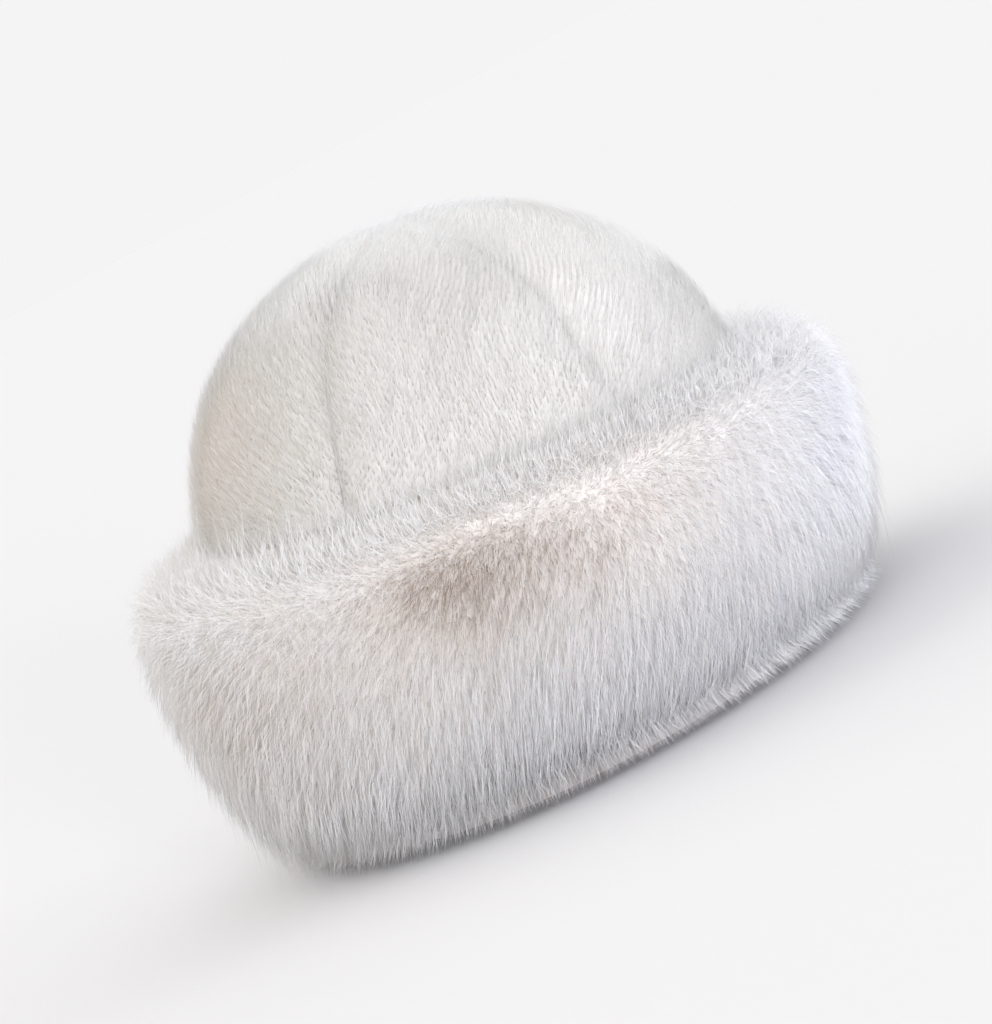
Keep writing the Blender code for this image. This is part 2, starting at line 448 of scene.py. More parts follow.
@dataclass(frozen=True)
class FurFinish:
    """Dyed or natural fur hair: its tones across the coat, which carry painted light and shade besides
    random unevenness, and along a hair.
    """

    name: str
    tones: tuple[tuple[float, str], ...]
    along: tuple[tuple[float, str], ...]
    root_roughness: float
    tip_roughness: float
    sheen: float

    def material(self) -> bpy.types.Material:
        """A hair material that reads each hair's tone and the place along it.

        Returns:
            The material.
        """
        made, tree, shader = new_material(self.name)
        places = add_node(tree, "ShaderNodeUVMap", {"uv_map": BAKE_MAP}, {}, {})
        split = add_node(tree, "ShaderNodeSeparateXYZ", {}, {}, {"Vector": places.outputs["UV"]})
        tone = add_node(tree, "ShaderNodeValToRGB", {}, {}, {"Fac": split.outputs["X"]})
        fill_ramp(tone, self.tones)
        along = add_node(tree, "ShaderNodeValToRGB", {}, {}, {"Fac": split.outputs["Y"]})
        fill_ramp(along, self.along)
        colour = add_node(
            tree, "ShaderNodeMix", {"data_type": "RGBA", "blend_type": "MULTIPLY"}, {"Factor": 1.0},
            {MIX_FIRST: tone.outputs["Color"], MIX_SECOND: along.outputs["Color"]},
        )
        tree.links.new(colour.outputs[MIX_RESULT], shader.inputs["Base Color"])
        shine = add_node(
            tree, "ShaderNodeMapRange", {},
            {"To Min": self.root_roughness, "To Max": self.tip_roughness}, {"Value": split.outputs["Y"]},
        )
        tree.links.new(shine.outputs["Result"], shader.inputs["Roughness"])
        shader.inputs["Sheen Weight"].default_value = self.sheen
        return made


@dataclass(frozen=True)
class PeltFinish:
    """The skin that carries the hair: suede inside, matted hair roots outside."""

    name: str
    light: str
    dark: str
    grain: float
    stretch: tuple[float, float, float]
    roughness: tuple[float, float]
    relief: float
    bump_strength: float = 0.6
    mottle_scale: float = 0.08
    mottle_share: float = 0.45
    tone_range: tuple[float, float] = (0.35, 0.65)

    def material(self) -> bpy.types.Material:
        """A material with a grain of real size in its colour, roughness and bump.

        Returns:
            The material.
        """
        made, tree, shader = new_material(self.name)
        where = add_node(tree, "ShaderNodeTexCoord", {}, {}, {})
        scaled = add_node(
            tree, "ShaderNodeMapping", {}, {"Scale": self.stretch}, {"Vector": where.outputs["Object"]}
        )
        fine = add_node(
            tree, "ShaderNodeTexNoise", {},
            {"Scale": 1 / self.grain, "Detail": 6.0, "Roughness": 0.6}, {"Vector": scaled.outputs["Vector"]},
        )
        broad = add_node(
            tree, "ShaderNodeTexNoise", {},
            {"Scale": self.mottle_scale / self.grain, "Detail": 2.0}, {"Vector": where.outputs["Object"]},
        )
        both = add_node(
            tree, "ShaderNodeMix", {"data_type": "FLOAT"}, {"Factor": self.mottle_share},
            {"A": fine.outputs["Fac"], "B": broad.outputs["Fac"]},
        )
        tone = add_node(tree, "ShaderNodeValToRGB", {}, {}, {"Fac": both.outputs["Result"]})
        fill_ramp(tone, ((self.tone_range[0], self.dark), (self.tone_range[1], self.light)))
        tree.links.new(tone.outputs["Color"], shader.inputs["Base Color"])
        rough = add_node(
            tree, "ShaderNodeMapRange", {},
            {"To Min": self.roughness[0], "To Max": self.roughness[1]}, {"Value": fine.outputs["Fac"]},
        )
        tree.links.new(rough.outputs["Result"], shader.inputs["Roughness"])
        bump = add_node(
            tree, "ShaderNodeBump", {},
            {"Strength": self.bump_strength, "Distance": self.relief}, {"Height": fine.outputs["Fac"]},
        )
        tree.links.new(bump.outputs["Normal"], shader.inputs["Normal"])
        return made


# Short clipped rabbit-like pile, brushed: matte, a little warm at its roots.
CROWN_HAIR = FurFinish(
    name="white_short_pile_fur_brushed",
    # The darker, warm stops are painted shade on the left of the crown; the palest stops are painted light
    # on its right and top.
    tones=(
        (0.0, "#DDD3C8"),
        (0.28, "#E2DBD3"),
        (0.5, "#E3E2DF"),
        (0.75, "#FCFCFB"),
        (1.0, "#FFFFFE"),
    ),
    along=((0.0, "#FBFAF9"), (0.45, "#FFFFFF"), (1.0, "#FFFFFF")),
    root_roughness=0.8,
    tip_roughness=0.6,
    sheen=0.15,
)

# Long fox-like guard hair over wool, brushed: silky tips that catch the light.
BAND_HAIR = FurFinish(
    name="white_long_hair_fur_brushed",
    # The dark warm stop is painted shadow where the hairs part, the warm stop painted shade on the left, and
    # the palest and coolest stops painted light on the right and low front.
    tones=(
        (0.0, "#C9BBAE"),
        (0.28, "#F6F2EE"),
        (0.5, "#FEFEFE"),
        (0.75, "#FEFEFF"),
        (1.0, "#F1F4FC"),
    ),
    along=((0.0, "#FAF8F7"), (0.45, "#FFFFFF"), (1.0, "#FFFFFF")),
    root_roughness=0.75,
    tip_roughness=0.5,
    sheen=0.2,
)

# The skin side of the pelt, buffed: soft, napped, pale cream.
SUEDE = PeltFinish(
    name="pelt_suede_buffed",
    light="#EFE7DA",
    dark="#DDD0BE",
    grain=1.6 * MM,
    stretch=(1.0, 1.0, 1.0),
    roughness=(0.85, 0.97),
    relief=0.15 * MM,
)

# Short dense underfur on the outside of the gores: it fills the gaps of the pile softly.
UNDERFUR = PeltFinish(
    name="short_underfur_felted",
    light="#E8E6E3",
    dark="#E1DED9",
    grain=1.2 * MM,
    stretch=(1.0, 1.0, 0.18),
    roughness=(0.8, 0.95),
    relief=0.4 * MM,
)

# Felted roots of the long hair, a little creamy, which show deep in gaps and on the tuck.
ROOTS = replace(UNDERFUR, name="long_fur_roots_felted", light="#F8F5F1", dark="#ECE6E0")


@dataclass
class Hairs:
    """A set of hairs, each a row of points from its root to its tip."""

    lines: np.ndarray
    thickness: np.ndarray
    tone: np.ndarray
    azimuth: np.ndarray

    def part(self, low: float, high: float) -> "Hairs":
        """The hairs whose roots lie between two azimuths."""
        turn = np.mod(self.azimuth - low, 2 * pi)
        kept = turn < high - low
        return Hairs(self.lines[kept], self.thickness[kept], self.tone[kept], self.azimuth[kept])


class HairShape(Enum):
    """How many rings of corners a hair has before its tip."""

    SPIKE = 1
    BENT = 2


@dataclass(frozen=True)
class Coat:
    """One coat of hair: how many hairs there are, and how they lie and bunch."""

    count: int
    shape: HairShape
    thickness: float
    length: tuple[float, float]
    bunches: int
    pull: float
    spread: float
    root_depth: float = 0.0
    rise: tuple[float, float] = (0.0, 0.0)
    strays: float = 0.0
    combed: float = 1.0


def ring_corners(lines: np.ndarray, thickness: np.ndarray) -> np.ndarray:
    """The corners of each hair's triangular rings.

    Args:
        lines: Hairs, their points and x, y, z.
        thickness: Thickness of each hair at its root.

    Returns:
        Corners by hair, ring, corner and x, y, z.
    """
    rings = lines.shape[1] - 1
    forward = unit(lines[:, 1:] - lines[:, :-1])
    along = forward.copy()
    along[:, 1:] = unit(forward[:, 1:] + forward[:, :-1])
    guide = np.where(np.abs(along[..., 2:3]) < STEEP, [0.0, 0.0, 1.0], [1.0, 0.0, 0.0])
    side = unit(np.cross(along, guide))
    other = np.cross(along, side)
    taper = np.linspace(1.0, END_TAPER, rings) if rings > 1 else np.ones(1)
    radius = thickness[:, None] / 2 * taper[None, :]
    turns = 2 * pi * np.arange(3) / 3
    around = (
        np.cos(turns)[None, None, :, None] * side[:, :, None, :]
        + np.sin(turns)[None, None, :, None] * other[:, :, None, :]
    )
    return lines[:, :rings, None, :] + around * radius[:, :, None, None]


def hair_pattern(rings: int) -> tuple[list[list[int]], list[list[tuple[float, float]]]]:
    """The faces of one hair and their places on its map.

    Args:
        rings: Rings of three corners before the tip.

    Returns:
        Corner numbers of each face, and for each corner how far across and along it lies.
    """
    across = (-0.5, 0.5, 0.0)
    faces, places = [[0, 2, 1]], [[(-0.5, 0.0), (0.0, CAP_HEIGHT), (0.5, 0.0)]]
    tip = 3 * rings
    for ring in range(rings):
        low, high = ring / rings, (ring + 1) / rings
        for corner in range(3):
            after = (corner + 1) % 3
            first, second = 3 * ring + corner, 3 * ring + after
            left, right = across[corner], across[after]
            if ring < rings - 1:
                faces.append([first, second, second + 3, first + 3])
                places.append([(left, low), (right, low), (right, high), (left, high)])
            else:
                faces.append([first, second, tip])
                places.append([(left, low), (right, low), (0.0, 1.0)])
    return faces, places


def hair_object(name: str, sets: list[Hairs], material: bpy.types.Material) -> bpy.types.Object:
    """Joins hairs into one mesh object with its map of tone and place along a hair.

    Args:
        name: The piece's name.
        sets: Sets of hairs. Each may have its own number of rings.
        material: The hair's material.

    Returns:
        The object, linked to the scene.
    """
    corners, loops, starts, spots = [], [], [], []
    corner_base, loop_base = 0, 0
    for hairs in sets:
        count, rings = len(hairs.lines), hairs.lines.shape[1] - 1
        if not count:
            continue
        rows = ring_corners(hairs.lines, hairs.thickness).reshape(count, rings * 3, 3)
        rows = np.concatenate([rows, hairs.lines[:, -1:]], axis=1)
        corners.append(rows.reshape(-1, 3))
        faces, places = hair_pattern(rings)
        pattern = np.array([corner for face in faces for corner in face])
        per_hair = rings * 3 + 1
        offsets = corner_base + np.arange(count)[:, None] * per_hair
        loops.append((offsets + pattern[None, :]).ravel())
        sizes = np.array([len(face) for face in faces])
        first = np.concatenate([[0], np.cumsum(sizes)[:-1]])
        starts.append((loop_base + np.arange(count)[:, None] * len(pattern) + first[None, :]).ravel())
        spot = np.array([place for face in places for place in face])
        tone = np.clip(hairs.tone, TONE_MARGIN, 1 - TONE_MARGIN)[:, None] + spot[None, :, 0] * MAP_WIDTH
        level = np.repeat(spot[None, :, 1], count, axis=0) * (1 - 2 * END_MARGIN) + END_MARGIN
        spots.append(np.stack([tone, level], axis=2).reshape(-1, 2))
        corner_base += count * per_hair
        loop_base += count * len(pattern)
    corners, loops = np.concatenate(corners), np.concatenate(loops)
    starts, spots = np.concatenate(starts), np.concatenate(spots)
    mesh = bpy.data.meshes.new(name)
    mesh.vertices.add(len(corners))
    mesh.vertices.foreach_set("co", corners.astype(np.float32).ravel())
    mesh.loops.add(len(loops))
    mesh.loops.foreach_set("vertex_index", loops.astype(np.int32))
    mesh.polygons.add(len(starts))
    mesh.polygons.foreach_set("loop_start", starts.astype(np.int32))
    mesh.polygons.foreach_set("use_smooth", np.ones(len(starts), bool))
    mesh.update(calc_edges=True)
    layer = mesh.uv_layers.new(name=BAKE_MAP)
    layer.data.foreach_set("uv", spots.astype(np.float32).ravel())
    mesh.materials.append(material)
    return add_object(name, mesh)


def mesh_object(
    name: str, mesh: bmesh.types.BMesh, materials: list[bpy.types.Material]
) -> bpy.types.Object:
    """Turns a bmesh into a smooth object with its faces outward.

    Args:
        name: The piece's name.
        mesh: The mesh, which is used up.
        materials: Materials in the order of the faces' numbers.

    Returns:
        The object, linked to the scene.
    """
    bmesh.ops.remove_doubles(mesh, verts=mesh.verts, dist=MERGE_GAP)
    bmesh.ops.recalc_face_normals(mesh, faces=mesh.faces)
    data = bpy.data.meshes.new(name)
    mesh.to_mesh(data)
    mesh.free()
    for material in materials:
        data.materials.append(material)
    data.shade_smooth()
    return add_object(name, data)


def nearest_bunch(points: np.ndarray, centres: np.ndarray) -> np.ndarray:
    """Finds the bunch that each hair belongs to.

    Args:
        points: Roots of the hairs.
        centres: Centres of the bunches.

    Returns:
        The number of the nearest centre for each root.
    """
    tree = KDTree(len(centres))
    for index, centre in enumerate(centres):
        tree.insert(centre, index)
    tree.balance()
    return np.array([tree.find(point)[1] for point in points])


def bow(first: np.ndarray, middle: np.ndarray, last: np.ndarray, share: np.ndarray) -> np.ndarray:
    """Places at a share of the curve that leaves first toward middle and ends at last."""
    return (1 - share) ** 2 * first + 2 * share * (1 - share) * middle + share**2 * last


def bend_hairs(
    root: np.ndarray, elbow: np.ndarray, tip: np.ndarray, shape: HairShape, length: np.ndarray
) -> np.ndarray:
    """Points along hairs that leave their roots toward an elbow and end at a tip.

    Args:
        root: Roots of the hairs.
        elbow: Points that bend each hair.
        tip: Tips of full-length hairs.
        shape: How many rings each hair has.
        length: Share of its full length that each hair has.

    Returns:
        Points by hair, place along it, and x, y, z.
    """
    steps = np.linspace(0.0, 1.0, shape.value + 1)
    share = (steps[None, :] * length[:, None])[..., None]
    return bow(*(points[:, None, :] for points in (root, elbow, tip)), share)


def floor_share(
    root: np.ndarray, elbow: np.ndarray, tip: np.ndarray, gap: np.ndarray
) -> np.ndarray:
    """The share of its length at which each hair comes down to its gap above the floor.

    Args:
        root: Roots of the hairs.
        elbow: Points that bend each hair.
        tip: Tips of full-length hairs.
        gap: Height over the floor at which each hair ends.

    Returns:
        A share for each hair, past 1 for those that end above the floor.
    """
    share = np.linspace(*FLOOR_TESTS)
    height = bow(*(points[:, 2:3] for points in (root, elbow, tip)), share[None, :])
    low = height < gap[:, None]
    return np.where(low.any(axis=1), share[np.argmax(low, axis=1)], share[-1])


def keep_off_floor(lines: np.ndarray, gap: np.ndarray) -> np.ndarray:
    """Lifts what would go through the floor to its hair's gap above it."""
    lines[..., 2] = np.maximum(lines[..., 2], gap[:, None])
    return lines


@dataclass(frozen=True)
class PaintedLightPatch:
    """Painted light and shade on the hat: a soft place whose shift moves the fur's tone toward paler, cooler
    colours above 0 and toward darker, warmer ones below 0.
    """

    azimuth: float
    height: float
    width: float
    rise: float
    shift: float


def painted_light_tone(points: np.ndarray, azimuth: np.ndarray, patches: tuple[PaintedLightPatch, ...]) -> np.ndarray:
    """The fur's tone at each point, with light and shade painted into it.

    Args:
        points: Rows of x, y and z.
        azimuth: Azimuths of the points.
        patches: Soft places of painted light and shade, which shift the tone from its middle, 0.5.

    Returns:
        A tone for each point, warm near 0 and cool near 1.
    """
    total = np.full(len(points), 0.5)
    for patch in patches:
        across = turn_from(azimuth, patch.azimuth) / radians(patch.width)
        above = (points[:, 2] - patch.height) / patch.rise
        total += patch.shift * np.exp(-(across**2) - above**2)
    return total


@dataclass
class Crown:
    """The crown: six skins, each with a short pile brushed up and to one side."""

    skin_depth: float = 0.0013
    skin_fade: float = 0.012
    grid_columns: int = 14
    grid_rows: int = 34
    brushed: tuple[float, float, float] = (0.46, 0.0, 0.89)
    stand: float = 0.42
    sweep: float = 0.91
    swirls: Waves = ((0.25, 3, 4, 0.0), (0.16, 7, -5, 1.3))
    hair_length: float = 0.0125
    elbow_lean: float = 0.4
    elbow_reach: float = 0.5
    elbow_pull: float = 0.4
    # Angles along the dome: the hairs' range, how many steps it has, and the last bunch.
    dome_range: tuple[float, float] = (-0.10, 1.566)
    dome_steps: int = 400
    bunch_end: float = 1.56
    bunch_start: float = 0.37
    # Unevenness of roots, bunches, tones of hairs and of bunches, and thickness.
    root_noise: float = 0.004
    bunch_noise: float = 0.02
    tone_noise: tuple[float, float] = (0.05, 0.04)
    thick_range: tuple[float, float] = (0.75, 1.25)
    seed: int = 21
    under: Coat = Coat(
        count=38000, shape=HairShape.SPIKE, thickness=0.00026, root_depth=0.0026,
        length=(0.60, 0.90), bunches=6000, pull=0.10, spread=0.08,
    )
    top: Coat = Coat(
        count=14000, shape=HairShape.BENT, thickness=0.00016, root_depth=0.0026,
        length=(0.80, 1.10), bunches=5200, pull=0.15, strays=0.10, spread=0.08,
    )
    # Painted light and shade in the crown's tone: a darker, warmer tone on the left gore is painted shade; a
    # paler tone on the right and a paler tone all round the top are painted light.
    patches: tuple[PaintedLightPatch, ...] = (
        PaintedLightPatch(azimuth=-62, height=0.145, width=26, rise=0.030, shift=-0.26),
        PaintedLightPatch(azimuth=60, height=0.145, width=38, rise=0.040, shift=0.30),
        PaintedLightPatch(azimuth=180, height=0.193, width=300, rise=0.016, shift=0.50),
    )

    def dome_angles(self) -> tuple[np.ndarray, np.ndarray]:
        """Angles along the dome and the share of its area below each.

        Returns:
            The angles and their shares, both rising.
        """
        angle = np.linspace(*self.dome_range, self.dome_steps)
        lifted = np.maximum(angle, 0.0)
        height = FORM.crown_height(lifted, 0.0) + np.minimum(angle, 0.0) * FORM.head_breadth / 2
        radius = (FORM.head_breadth / 2 + FORM.crown_wall) * np.cos(lifted)
        step = np.hypot(np.diff(radius), np.diff(height)) * (radius[1:] + radius[:-1])
        area = np.concatenate([[0.0], np.cumsum(step)])
        return angle, area / area[-1]

    def scatter(self, count: int, start: float) -> tuple[np.ndarray, np.ndarray]:
        """Places spread evenly over the dome: azimuths and angles."""
        across, up = even_pairs(count, start)
        angle, share = self.dome_angles()
        return across * 2 * pi, np.maximum(np.interp(up, share, angle), 0.0)

    def lie(
        self, azimuth: np.ndarray, angle: np.ndarray, coat: Coat, chance: np.random.Generator
    ) -> Strands:
        """Roots, elbows and tips of hairs brushed over the dome.

        Args:
            azimuth: Azimuths of the roots.
            angle: Angles of the roots along the dome.
            coat: The coat that the hairs belong to.
            chance: Source of random numbers.

        Returns:
            Rows of roots, of elbows and of tips.
        """
        root = FORM.crown_place(azimuth, angle, np.full_like(azimuth, coat.root_depth))
        outward = unit(FORM.crown_outward(azimuth, angle))
        swirl = wave_sum(self.swirls, azimuth, angle)
        brushed = np.array(self.brushed)
        flow = unit(brushed - outward * (outward @ brushed)[:, None])
        flow = unit(flow + np.cross(outward, flow) * swirl[:, None])
        direction = self.stand * outward + self.sweep * flow
        direction = unit(direction + chance.normal(0, coat.spread, root.shape))
        elbow = root + unit(outward + self.elbow_lean * flow) * self.hair_length * self.elbow_reach
        return root, elbow, root + direction * self.hair_length

    def pile(self, coat: Coat) -> Hairs:
        """Makes one coat of the crown's hairs.

        Args:
            coat: The coat.

        Returns:
            The hairs.
        """
        chance = np.random.default_rng(self.seed + coat.shape.value)
        azimuth, angle = self.scatter(coat.count, 0.0)
        azimuth = azimuth + chance.normal(0, self.root_noise, coat.count)
        root, elbow, tip = self.lie(azimuth, angle, coat, chance)
        mid_azimuth, mid_angle = self.scatter(coat.bunches, self.bunch_start)
        mid_azimuth = mid_azimuth + chance.normal(0, self.bunch_noise, coat.bunches)
        mid_angle = mid_angle + chance.normal(0, self.bunch_noise, coat.bunches)
        mid_angle = np.clip(mid_angle, 0.0, self.bunch_end)
        mid_root, mid_elbow, mid_tip = self.lie(mid_azimuth, mid_angle, coat, chance)
        bunch = nearest_bunch(root, mid_root)
        pull = np.where(chance.random(coat.count) < coat.strays, 0.0, coat.pull)
        tip = blend(tip, mid_tip[bunch], pull)
        elbow = blend(elbow, mid_elbow[bunch], pull * self.elbow_pull)
        length = chance.uniform(*coat.length, coat.count)
        lines = bend_hairs(root, elbow, tip, coat.shape, length)
        single, shared = self.tone_noise
        # Painted light and shade from the patches, then random unevenness of hairs and bunches.
        tone = painted_light_tone(root, azimuth, self.patches)
        tone += chance.normal(0, single, coat.count) + chance.normal(0, shared, coat.bunches)[bunch]
        thickness = coat.thickness * chance.uniform(*self.thick_range, coat.count)
        return Hairs(lines, thickness, tone, azimuth)

    def skin_mesh(self, low: float, high: float) -> bmesh.types.BMesh:
        """One gore's skin, from the rim to the top, as a closed wall.

        Args:
            low: Azimuth of the gore's first seam.
            high: Azimuth of its second seam.

        Returns:
            The mesh.
        """
        mesh = bmesh.new()
        tip = np.arccos(FORM.tip_radius / (FORM.head_breadth / 2))
        wall = FORM.dome_start - FORM.crown_edge
        dome = FORM.crown_rise + FORM.dome_spring
        turn = wall / (wall + dome)
        for outer in (True, False):
            made = bmesh.ops.create_grid(
                mesh, x_segments=self.grid_columns, y_segments=self.grid_rows, size=1.0
            )["verts"]
            spots = np.array([vertex.co for vertex in made])
            share = (spots[:, 1] + 1) / 2
            angle = np.clip((share - turn) / (1 - turn), 0, 1) * tip
            low_wall = np.clip(share / turn, 0, 1)
            reach = (FORM.head_breadth / 2 + FORM.crown_wall) * np.cos(angle)
            trim = FORM.sewn_gap / 2 / np.maximum(reach, TINY)
            azimuth = low + trim + (high - low - 2 * trim) * (spots[:, 0] + 1) / 2
            if outer:
                rise = FORM.crown_height(angle, 0.0) - FORM.dome_start
                depth = self.skin_depth * smooth_step(rise / self.skin_fade)
                placed = FORM.crown_place(azimuth, angle, depth)
            else:
                height = FORM.crown_height(angle, FORM.crown_wall)
                placed = FORM.lean(FORM.plan(azimuth, 0.0, height, np.cos(angle)))
            offset = np.full_like(azimuth, FORM.crown_wall if outer else 0.0)
            foot = FORM.plan(azimuth, offset, FORM.crown_edge + wall * low_wall, 1.0)
            placed = np.where((share < turn)[:, None], FORM.lean(foot), placed)
            for vertex, place in zip(made, placed):
                vertex.co = place
            if outer:
                outside = set(mesh.faces)
        for face in mesh.faces:
            face.material_index = 0 if face in outside else 1
        bmesh.ops.bridge_loops(mesh, edges=[edge for edge in mesh.edges if edge.is_boundary])
        return mesh

    def build(self) -> list[bpy.types.Object]:
        """Builds and dresses the six gores.

        Returns:
            The pieces.
        """
        hair, skins = CROWN_HAIR.material(), [UNDERFUR.material(), SUEDE.material()]
        coats = [self.pile(self.under), self.pile(self.top)]
        wide = 2 * pi / FORM.gore_count
        pieces = []
        for gore in range(FORM.gore_count):
            low = FORM.seam_turn + wide * (gore - 0.5)
            node = f"crown_gore_{gore + 1}"
            skin = mesh_object(f"crown_skin_{gore + 1}", self.skin_mesh(low, low + wide), skins)
            pile = hair_object(
                f"crown_pile_{gore + 1}", [coat.part(low, low + wide) for coat in coats], hair
            )
            for piece in (skin, pile):
                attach(piece, "root")
                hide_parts(node)
                pieces.append(piece)
        return pieces


@dataclass
class FurBand:
    """The band: a backing under two coats of long hair and a skirt, in five lengths of fur."""

    lengths: int = 5
    backing_depth: float = 0.0130
    backing_start: float = 0.004
    backing_least: float = 0.0015
    tuck_fold: tuple[float, float] = (-0.001, 0.010)
    tuck_foot: float = -0.0065
    section_points: int = 40
    spin_steps: int = 120
    shoulder_cut: float = 0.40
    seed: int = 5
    under: Coat = Coat(
        count=44000, shape=HairShape.SPIKE, thickness=0.00042, root_depth=0.0160, rise=(-0.008, -0.003),
        length=(0.78, 1.0), bunches=9000, pull=0.25, spread=0.0035, combed=0.6,
    )
    guard: Coat = Coat(
        count=40000, shape=HairShape.BENT, thickness=0.00029, root_depth=0.0175, rise=(-0.001, 0.0045),
        length=(0.80, 1.06), bunches=8000, pull=0.50, strays=0.15, spread=0.0050,
    )
    skirt: Coat = Coat(
        count=9000, shape=HairShape.BENT, thickness=0.00050, rise=(-0.006, 0.004),
        length=(0.90, 1.0), bunches=1800, pull=0.4, spread=0.003,
    )
    brushed: tuple[float, float, float] = (0.46, 0.0, 0.89)
    # Where the hairs part, as a share of the outline, how wide that place is, and how
    # much denser, fluffier and less bunched the fur is there.
    facing: float = 0.24
    facing_width: float = 0.13
    facing_density: float = 0.9
    facing_fluff: float = 0.8
    facing_release: float = 0.5
    edge_width: float = 0.06
    # Shares of the outline, and how far the hairs there are combed away from where they part.
    comb: tuple[tuple[float, float], ...] = (
        (0.0, -0.005), (0.12, -0.004), (facing, 0.002), (0.36, 0.012),
        (0.50, 0.023), (0.70, 0.032), (0.88, 0.032), (1.0, 0.026),
    )
    swells: Waves = ((0.04, 3, 0, 0.7), (0.03, 8, 0, 2.0))
    swell_noise: float = 0.05
    sways: Waves = ((0.5, 2, 3, 1.1), (0.5, 5, -4, 0.0), (0.35, 11, 6, 0.6))
    sway: float = 0.0040
    down_rise: float = 0.3
    elbow_reach: float = 1.05
    elbow_pull: float = 0.45
    # The skirt: heights of its roots, places of its elbows and tips, and its roots' inset.
    skirt_heights: tuple[float, float] = (0.004, 0.015)
    skirt_reach: tuple[float, float] = (0.002, 0.018)
    skirt_arch: float = 0.008
    skirt_flare: float = 0.003
    skirt_inset: float = 0.002
    bunch_start: float = 0.41
    # Unevenness of roots, bunches and their pull and length, strays, tones and thickness.
    root_noise: float = 0.003
    bunch_noise: tuple[float, float] = (0.015, 0.002)
    bunch_pull: tuple[float, float] = (0.75, 1.1)
    bunch_length: tuple[float, float] = (0.88, 1.04)
    stray_length: float = 1.14
    tone_noise: float = 0.07
    thick_range: tuple[float, float] = (0.7, 1.3)
    # Heights over the floor at which hairs end: the least, and more for bunches and hairs.
    least_gap: float = 3 * FORM.floor_gap
    ragged: float = 0.006
    ragged_single: float = 0.25
    # Painted light and shade in the band's tone: a painted shadow where the hairs part and just below it,
    # painted warm shade on the left, and paler, cooler painted light on the right and on the low front.
    patches: tuple[PaintedLightPatch, ...] = (
        PaintedLightPatch(azimuth=-10, height=0.091, width=10, rise=0.011, shift=-0.46),
        PaintedLightPatch(azimuth=8, height=0.080, width=30, rise=0.020, shift=-0.30),
        PaintedLightPatch(azimuth=70, height=0.065, width=34, rise=0.035, shift=0.36),
        PaintedLightPatch(azimuth=20, height=0.020, width=40, rise=0.030, shift=0.24),
        PaintedLightPatch(azimuth=-66, height=0.072, width=42, rise=0.036, shift=-0.22),
    )

    def run_shares(self) -> tuple[np.ndarray, np.ndarray]:
        """Runs along the outline and the share of the hairs before each.

        Returns:
            The runs and their shares, both rising.
        """
        run = np.linspace(0.0, BAND_RUN, 300)
        out, _ = band_section(run, np.zeros_like(run))
        radius = FORM.seat_radius + out
        radius = radius * (1 + self.facing_density * self.near_facing(run / BAND_RUN))
        area = np.concatenate([[0.0], np.cumsum((radius[1:] + radius[:-1]) * np.diff(run))])
        return run, area / area[-1]

    def scatter(self, count: int, start: float) -> tuple[np.ndarray, np.ndarray]:
        """Places spread evenly over the band: azimuths and runs."""
        across, down = even_pairs(count, start)
        run, share = self.run_shares()
        return across * 2 * pi, np.interp(down, share, run)

    def lie(
        self, azimuth: np.ndarray, run: np.ndarray, coat: Coat, chance: np.random.Generator
    ) -> Strands:
        """Roots, elbows and tips of hairs that leave the backing and hang.

        Args:
            azimuth: Azimuths of the roots.
            run: Runs of the roots along the outline.
            coat: The coat that the hairs belong to.
            chance: Source of random numbers.

        Returns:
            Rows of roots, of elbows and of tips.
        """
        count = len(azimuth)
        share = run / BAND_RUN
        depth = coat.root_depth * (1 - self.shoulder_cut * self.near_facing(share))
        root = band_place(azimuth, run, depth)
        outward = band_outward(azimuth, run)
        swell = wave_sum(self.swells, azimuth, share) + chance.normal(0, self.swell_noise, count)
        combed = coat.combed * np.interp(share + swell, *zip(*self.comb))
        brushed = np.array(self.brushed)
        level = np.stack([np.cos(azimuth), np.sin(azimuth), 0 * azimuth], axis=1)
        edge = np.exp(-((share / self.edge_width) ** 2))
        fluff = coat.spread * (1 + self.facing_fluff * self.near_facing(share) + edge)
        swayed = self.sway * wave_sum(self.sways, azimuth, share)
        sideways = swayed - combed * (level @ brushed) + chance.normal(0, 1, count) * fluff
        down = -combed * (band_downward(azimuth, run) @ brushed) + chance.normal(0, 1, count) * fluff
        rise = chance.uniform(*coat.rise, count)
        facing_up = np.where(combed < 0, 1, self.down_rise)
        rise += np.maximum(-combed * (outward @ brushed), 0.0) * facing_up
        radius = FORM.seat_radius + FORM.band_depth
        tip = band_place(azimuth + sideways / radius, run + down, -rise)
        elbow = root + outward * depth[:, None] * self.elbow_reach
        return root, elbow, tip

    def near_facing(self, share: np.ndarray) -> np.ndarray:
        """How near each place is to where the hairs part, from 0 to 1."""
        return np.exp(-(((share - self.facing) / self.facing_width) ** 2))

    def hang(
        self, azimuth: np.ndarray, run: np.ndarray, coat: Coat, chance: np.random.Generator
    ) -> Strands:
        """Roots, elbows and tips of the hairs that spread from the tuck over the floor.

        Args:
            azimuth: Azimuths of the roots.
            run: Runs of the roots, which only say how high up the tuck they start.
            coat: The coat that the hairs belong to.
            chance: Source of random numbers.

        Returns:
            Rows of roots, of elbows and of tips.
        """
        count = len(azimuth)
        lowest, highest = self.skirt_heights
        high = lowest + (highest - lowest) * run / BAND_RUN
        aside = azimuth + chance.normal(0, coat.spread, count) / (FORM.head_breadth / 2)
        reach = FORM.band_seat + chance.uniform(*self.skirt_reach, count)
        low = chance.uniform(*coat.rise, count)
        seat = np.full(count, FORM.band_seat - self.skirt_inset)
        root = FORM.lean(FORM.plan(azimuth, seat, high, 1.0))
        elbow = FORM.lean(FORM.plan(azimuth, reach, high + self.skirt_arch, 1.0))
        tip = FORM.lean(FORM.plan(aside, reach + self.skirt_flare, np.maximum(low, 0.0), 1.0))
        tip[:, 2] += np.minimum(low, 0.0)
        return root, elbow, tip

